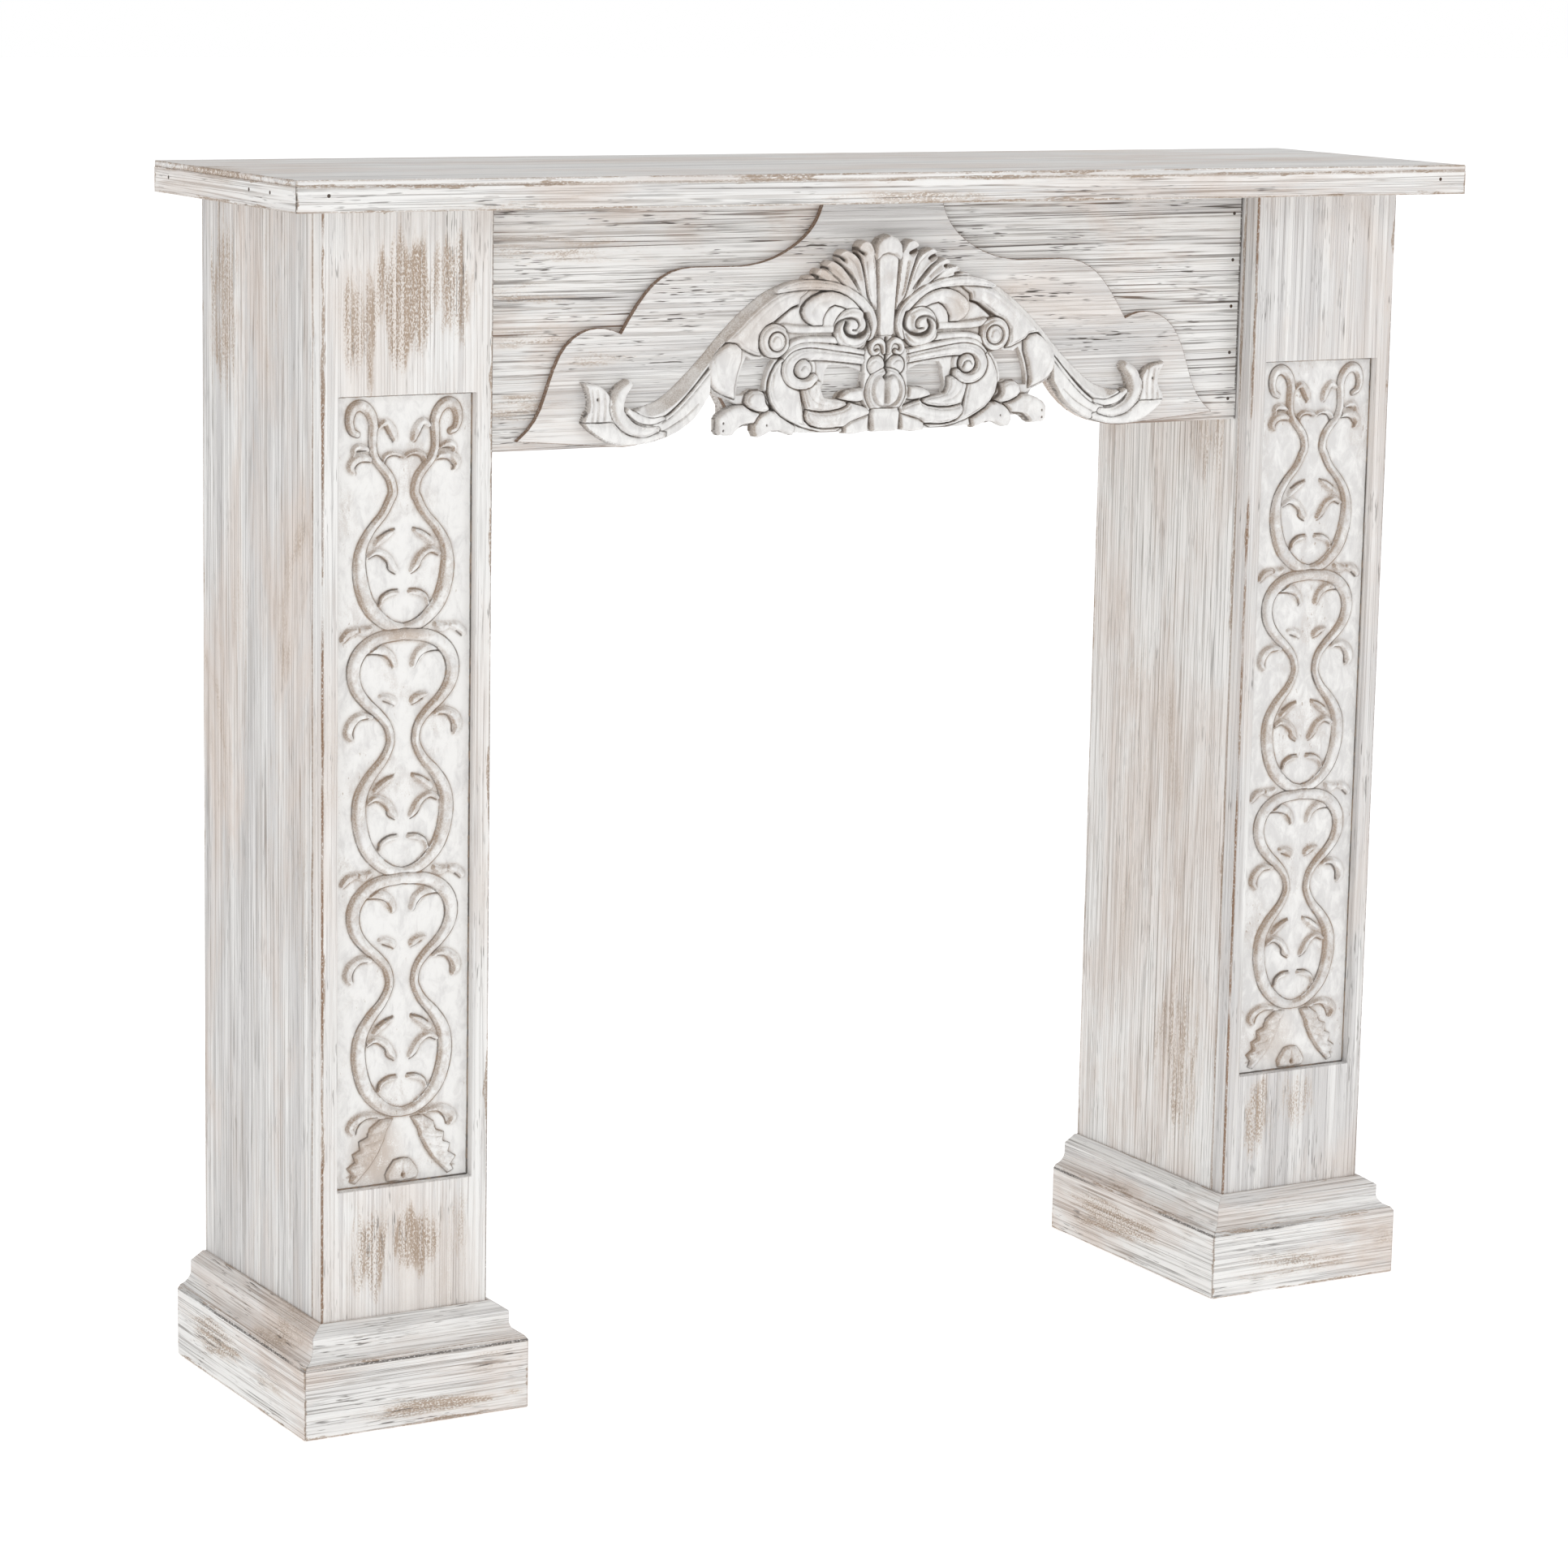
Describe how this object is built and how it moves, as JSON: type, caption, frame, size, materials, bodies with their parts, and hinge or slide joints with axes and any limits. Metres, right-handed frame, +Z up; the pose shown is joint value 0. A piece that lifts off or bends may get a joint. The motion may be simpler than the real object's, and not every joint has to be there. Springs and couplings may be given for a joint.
{
  "type": "fireplace surround",
  "caption": "Whitewashed wooden fireplace surround: hollow panelled legs on plinths, a carved frieze with scrolls, and a shelf across the top.",
  "frame": {"origin": "on the floor, under the middle of the whole", "axes": "+X along the shelf towards the viewer's right, +Y towards the wall, +Z up"},
  "size_m": [1.108, 0.278, 1],
  "materials": {
    "shelf_white": "whitewashed, wire-brushed, matt",
    "leg_white": "whitewashed, wire-brushed, matt",
    "frieze_white": "whitewashed, wire-brushed, matt",
    "base_white": "whitewashed, worn edges, matt",
    "carving_white": "whitewashed carving, brown in the recesses",
    "bare_pine": "sawn, unpainted",
    "hardboard": "smooth brown hardboard",
    "steel": "dull, slightly oxidised"
  },
  "bodies": {
    "root": {"shelf_top": "shelf_white", "shelf_soffit": "shelf_white", "shelf_front_strip": "shelf_white", "shelf_left_strip": "shelf_white", "shelf_right_strip": "shelf_white", "shelf_back_batten": "bare_pine", "shelf_front_batten": "bare_pine", "shelf_ribs": "bare_pine", "left_front_board": "leg_white", "left_outer_side": "leg_white", "left_inner_side": "leg_white", "left_carved_panel": "carving_white", "left_panel_backing": "hardboard", "left_top_cleats": "bare_pine", "left_foot_cleats": "bare_pine", "left_wall_rail": "bare_pine", "right_front_board": "leg_white", "right_outer_side": "leg_white", "right_inner_side": "leg_white", "right_carved_panel": "carving_white", "right_panel_backing": "hardboard", "right_top_cleats": "bare_pine", "right_foot_cleats": "bare_pine", "right_wall_rail": "bare_pine", "left_front_plinth": "base_white", "left_outer_plinth": "base_white", "left_inner_plinth": "base_white", "left_front_moulding": "base_white", "left_outer_moulding": "base_white", "left_inner_moulding": "base_white", "right_front_plinth": "base_white", "right_outer_plinth": "base_white", "right_inner_plinth": "base_white", "right_front_moulding": "base_white", "right_outer_moulding": "base_white", "right_inner_moulding": "base_white", "frieze_board": "frieze_white", "frieze_apron": "frieze_white", "left_scroll": "carving_white", "right_scroll": "carving_white", "central_carving": "carving_white", "frieze_top_cleat": "bare_pine", "left_frieze_cleat": "bare_pine", "right_frieze_cleat": "bare_pine", "frieze_nails": "steel", "shelf_nails": "steel", "shelf_screws": "steel"}
  },
  "joints": []
}
